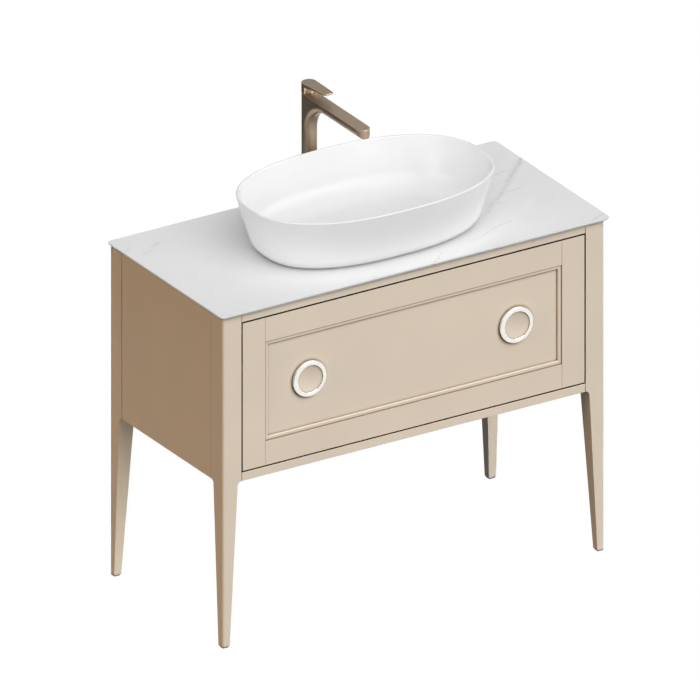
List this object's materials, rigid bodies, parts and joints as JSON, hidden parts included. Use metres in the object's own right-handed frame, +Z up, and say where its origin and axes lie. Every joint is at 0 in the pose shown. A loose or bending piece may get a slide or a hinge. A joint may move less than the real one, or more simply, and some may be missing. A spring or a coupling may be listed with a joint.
{
  "type": "vessel sink vanity",
  "caption": "Bathroom washstand: glossy oval vessel basin and tall lever mixer on a veined stone top, over a tapered-leg cabinet with a wide panelled drawer and ring pulls.",
  "frame": {"origin": "on the floor, under the middle of the stone top", "axes": "+X to the right seen from the drawer side, +Y towards the wall, +Z up"},
  "size_m": [1, 0.475, 1.0787],
  "materials": {
    "lacquered_wood": "satin lacquer",
    "carcass_board": "sealed board",
    "drawer_board": "matt lacquer",
    "veined_stone": "polished",
    "white_glaze": "gloss",
    "brushed_bronze": "brushed",
    "raw_brass": "machined",
    "polished_chrome": "polished",
    "zinc_steel": "zinc plated",
    "black_rubber": "matt",
    "white_plastic": "gloss",
    "dark_plastic": "matt"
  },
  "bodies": {
    "vanity": {"front_left_leg": "lacquered_wood", "front_right_leg": "lacquered_wood", "back_left_leg": "lacquered_wood", "back_right_leg": "lacquered_wood", "leg_glides": "dark_plastic", "left_side_panel": "lacquered_wood", "right_side_panel": "lacquered_wood", "front_top_rail": "lacquered_wood", "front_bottom_rail": "lacquered_wood", "back_top_rail": "carcass_board", "back_bottom_rail": "carcass_board", "bottom_panel": "carcass_board", "counter_bearers": "carcass_board", "left_runner_batten": "carcass_board", "right_runner_batten": "carcass_board", "slide_outers": "zinc_steel", "countertop": "veined_stone", "basin": "white_glaze", "waste_seal": "black_rubber", "waste_body": "polished_chrome", "waste_washer": "black_rubber", "waste_nut": "raw_brass", "trap_body": "white_plastic", "trap_cup": "white_plastic", "trap_nuts": "white_plastic", "trap_outlet_pipe": "white_plastic", "mixer_base_ring": "brushed_bronze", "mixer_body": "brushed_bronze", "aerator": "dark_plastic", "cartridge": "dark_plastic", "cartridge_nut": "raw_brass", "mixer_shank": "raw_brass", "mixer_washer": "zinc_steel", "mixer_nut": "raw_brass"},
    "drawer": {"drawer_left_stile": "lacquered_wood", "drawer_right_stile": "lacquered_wood", "drawer_top_rail": "lacquered_wood", "drawer_bottom_rail": "lacquered_wood", "drawer_centre_panel": "lacquered_wood", "panel_beads_level": "lacquered_wood", "panel_beads_upright": "lacquered_wood", "left_handle_ring": "polished_chrome", "right_handle_ring": "polished_chrome", "left_handle_dish": "lacquered_wood", "right_handle_dish": "lacquered_wood", "handle_bolts": "zinc_steel", "drawer_box_front": "drawer_board", "drawer_left_side": "drawer_board", "drawer_right_side": "drawer_board", "drawer_backs": "drawer_board", "notch_side_walls": "drawer_board", "notch_front_wall": "drawer_board", "drawer_bottom": "drawer_board", "slide_inners": "zinc_steel"},
    "left_slide_middle": {"left_slide_middle": "zinc_steel"},
    "right_slide_middle": {"right_slide_middle": "zinc_steel"},
    "waste_plug": {"waste_plug": "polished_chrome"},
    "lever_hub": {"lever_hub": "brushed_bronze"},
    "lever": {"lever": "brushed_bronze"}
  },
  "joints": [
    {"name": "drawer_slide", "type": "slide", "parent": "vanity", "child": "drawer", "axis": [0, -1, 0], "range_m": [0, 0.38]},
    {"name": "left_slide_extend", "type": "slide", "parent": "vanity", "child": "left_slide_middle", "axis": [0, -1, 0], "range_m": [0, 0.19]},
    {"name": "right_slide_extend", "type": "slide", "parent": "vanity", "child": "right_slide_middle", "axis": [0, -1, 0], "range_m": [0, 0.19]},
    {"name": "lever_turn", "type": "hinge", "parent": "vanity", "child": "lever_hub", "pos_m": [0, 0.2037, 1.05], "axis": [0, 0, 1], "range_deg": [-45, 45]},
    {"name": "lever_lift", "type": "hinge", "parent": "lever_hub", "child": "lever", "pos_m": [0, 0.2037, 1.0546], "axis": [-1, 0, 0], "range_deg": [0, 22]},
    {"name": "plug_press", "type": "slide", "parent": "vanity", "child": "waste_plug", "axis": [0, 0, 1], "range_m": [0, 0.008]}
  ],
  "couplings": [
    {"joint": "left_slide_extend", "follows": "drawer_slide", "ratio": 0.5},
    {"joint": "right_slide_extend", "follows": "drawer_slide", "ratio": 0.5}
  ]
}
